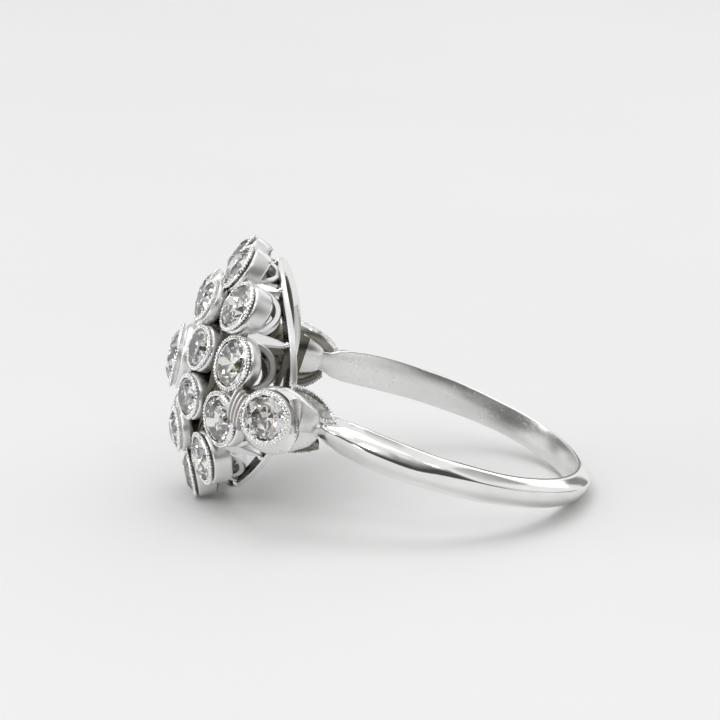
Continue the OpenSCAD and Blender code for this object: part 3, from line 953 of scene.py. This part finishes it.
plate_curve = bpy.data.curves.new("gallery_plate", "CURVE")
plate_curve.dimensions = "2D"
plate_curve.fill_mode = "BOTH"
plate_curve.extrude = plate_extrude
plate_curve.bevel_depth = plate_edge
plate_curve.bevel_resolution = 2
holes = [(0.0, 0.0, centre_hole_r)]
for k in range(1, inner_count + 1):
    angle = inner_angle(k)
    holes.append((inner_half_w * math.cos(angle), inner_reach * math.sin(angle), inner_hole_r))
outlines = [[(plate_half_w * math.cos(a), plate_reach * math.sin(a)) for a in turns(96)]]
outlines += [[(q + r * math.cos(a), z + r * math.sin(a)) for a in turns(32)] for q, z, r in holes]
for outline in outlines:
    spline = plate_curve.splines.new("POLY")
    spline.points.add(len(outline) - 1)
    for point, (x, y) in zip(spline.points, outline):
        point.co = (x, y, 0, 1)
    spline.use_cyclic_u = True
plate_mesh = plain_mesh("gallery_plate", new_object("plate_outline", plate_curve))
stood_up = Matrix(((0, 0, -1, -plate_p), (1, 0, 0, 0), (0, 1, 0, 0), (0, 0, 0, 1)))
plate_mesh.transform(leaned @ stood_up)
weld(plate_mesh, 1e-8)
# The plate is coloured with the dark painted shade metal.
metal_piece("gallery_plate", plate_mesh, cast, "ring_mount")

# Collets
# Turned cups, open behind, with a low rim rubbed over the stone in grains and milled outside. Under
# the milling runs a fine groove, painted dark as shade on the outer row and satin on the others, then a
# brushed drum, and a cone behind its edge that is painted dark as shade.
outer_half_w, outer_reach = 5.35, 6.0
outer_end_lean, outer_side_lean = 23, 37
inner_end_lean, inner_side_lean = 18, 28
inner_end_p, inner_side_p, inner_r = 13.1, 12.8, 1.05
centre_p, centre_r = 13.85, 1.55
outer_own_turn, inner_own_turn = 1.9, 1.3
collet_lobes, collet_steps = 8, 72
mill_r, centre_mill_r, mill_height = 1.12, 1.085, 0.03
grain_r, grain_height = 1.0, 0.085


def collet_mesh(rim_r, drum, depth, groove):
    """One collet for a stone of radius 1, girdle on Z = 0."""
    profile = [
        (0.56, -depth), (0.97, -0.12), (1.03, -0.07), (1.03, 0.02), (0.995, 0.05), (0.98, 0.07),
        (0.985, 0.09), (1.01, 0.10), (1.05, 0.09), (rim_r - 0.10, 0.05), (rim_r - 0.08, 0.02),
        (rim_r - 0.085, -0.03), (rim_r - 0.10, -0.06), (rim_r - 0.095, -0.11), (rim_r - 0.02, -0.15),
        (rim_r, -0.19), (rim_r + 0.008, -0.30), (rim_r + 0.01, -drum * 0.60), (rim_r, -drum * 0.86),
        (rim_r - 0.02, -drum * 0.96), (rim_r - 0.06, -drum), (rim_r - 0.15, -drum - 0.02),
        (rim_r * 0.78, -drum - 0.05), (rim_r * 0.60, -depth),
    ]
    rows = []
    for a in turns(collet_steps):
        swell = 0.5 + 0.5 * math.cos(collet_lobes * a + 0.7 * math.sin(2 * a + 1))
        by_hand = 1 + 0.006 * math.sin(2 * a + 0.7) + 0.004 * math.sin(5 * a + 2)
        row = []
        for r, z in profile:
            if z > 0.05:
                r -= 0.03 * swell
                z += 0.03 * swell
            elif r > 1.03:
                r *= by_hand
                z *= 1 + 0.05 * math.sin(3 * a) if z < -0.4 else 1
            row.append((r * math.cos(a), r * math.sin(a), z))
        rows.append(row)

    # Painted shade (2) goes in the outer groove and on the cone behind the drum; the drum is satin (1).
    def finish(spot, way_out):
        r = math.hypot(spot.x, spot.y)
        outwards = way_out.x * spot.x + way_out.y * spot.y > 0
        if outwards and r < rim_r - 0.07 and -0.12 < spot.z < 0.0:
            return groove
        if outwards and r < rim_r - 0.1 and spot.z < -drum * 0.9:
            return 2
        return 1 if r > rim_r - 0.04 and -drum * 0.9 < spot.z < -0.16 else 0

    return finished(mesh_from("collet", *loft(rows, joined=True), sharp=40), finish)


def facing(lean):
    """Turns a collet's axis from +Z to face out of the cluster, leaning outwards."""
    return Matrix.Rotation(-math.radians(lean), 4, "Z") @ Matrix.Rotation(-math.pi / 2, 4, "Y")


def round_rim(place, r, z):
    return [place @ Vector((r * math.cos(a), r * math.sin(a), z)) for a in turns(64)]


row_places = {"side": [], "end": []}
for k in range(1, outer_count + 1):
    angle = outer_angle(k)
    spot = in_row(outer_half_w, outer_reach, angle, outer_height(angle))
    place = leaned @ spot @ facing(by_side(outer_end_lean, outer_side_lean, angle))
    part_of_row = "side" if abs(math.cos(angle)) > 0.9 else "end"
    turned = place @ Matrix.Rotation(outer_own_turn * k, 4, "Z")
    row_places[part_of_row].append(turned @ Matrix.Scale(outer_width(angle) / 2, 4))
inner_places = []
for k in range(1, inner_count + 1):
    angle = inner_angle(k)
    spot = in_row(inner_half_w, inner_reach, angle, by_side(inner_end_p, inner_side_p, angle))
    place = leaned @ spot @ facing(by_side(inner_end_lean, inner_side_lean, angle))
    inner_places.append(place @ Matrix.Rotation(inner_own_turn * k, 4, "Z") @ Matrix.Scale(inner_r, 4))
centre_spot = leaned @ Matrix.Translation((-centre_p, 0, 0))
centre_place = centre_spot @ Matrix.Rotation(-math.pi / 2, 4, "Y") @ Matrix.Scale(centre_r, 4)
# The last value marks the groove: 2 paints shade into it, 1 leaves it satin.
for name, places, rim_r, drum, depth, groove in (
    ("side_collets", row_places["side"], 1.17, 0.62, 0.96, 2),
    ("end_collets", row_places["end"], 1.18, 1.0, 1.16, 2),
    ("inner_collets", inner_places, 1.18, 0.70, 1.70, 1),
    ("centre_collet", [centre_place], 1.14, 0.62, 1.55, 1),
):
    set_out(name, collet_mesh(rim_r, drum, depth, groove), places, polished)

around_centre = row_places["side"] + row_places["end"] + inner_places
mill_lines = [round_rim(place, mill_r, mill_height) for place in around_centre]
mill_lines.append(round_rim(centre_place, centre_mill_r, mill_height))
milled("collet_beads", mill_lines, 0.082, 0.185, polished, 0.2)
grain_lines = [round_rim(place, grain_r, grain_height) for place in around_centre + [centre_place]]
milled("setting_grains", grain_lines, 0.07, 0.27, polished, 0.4)

# Stones
# Old round cuts in clear diamond, with pale blue, yellow-green, orange and violet painted into a few
# small cells as flashes of fire. They are the imported solids with their own facets: only their material is
# made here.
diamond, nodes = new_material("diamond")
place = nodes.add("ShaderNodeTexCoord", out=3)
# Painted colour flashes: a few cells of the facets are tinted to stand in for the stone's fire.
cells = nodes.add("ShaderNodeTexVoronoi", Vector=place, Scale=2600.0, out=1)
painted_flash_stops = [
    (0.0, (0.62, 0.86, 1.0)), (0.05, (0.80, 0.94, 1.0)), (0.08, (1.0, 1.0, 1.0)), (0.86, (1.0, 1.0, 0.99)),
    (0.90, (0.90, 1.0, 0.62)), (0.94, (1.0, 0.82, 0.55)), (1.0, (0.90, 0.80, 1.0)),
]
cell = nodes.add("ShaderNodeSeparateXYZ", Vector=cells)
painted_flashes = nodes.add("ShaderNodeValToRGB", {"stops": painted_flash_stops}, Fac=cell)
stone_shader = nodes.add(
    "ShaderNodeBsdfPrincipled", Base_Color=painted_flashes, Roughness=0.0, IOR=2.42, Transmission_Weight=0.96
)
nodes.add("ShaderNodeOutputMaterial", Surface=stone_shader)
for thing in bpy.context.scene.objects:
    if thing.get("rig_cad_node") and "stone" in thing["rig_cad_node"]:
        thing.data.materials.clear()
        thing.data.materials.append(diamond)

bpy.context.view_layer.update()
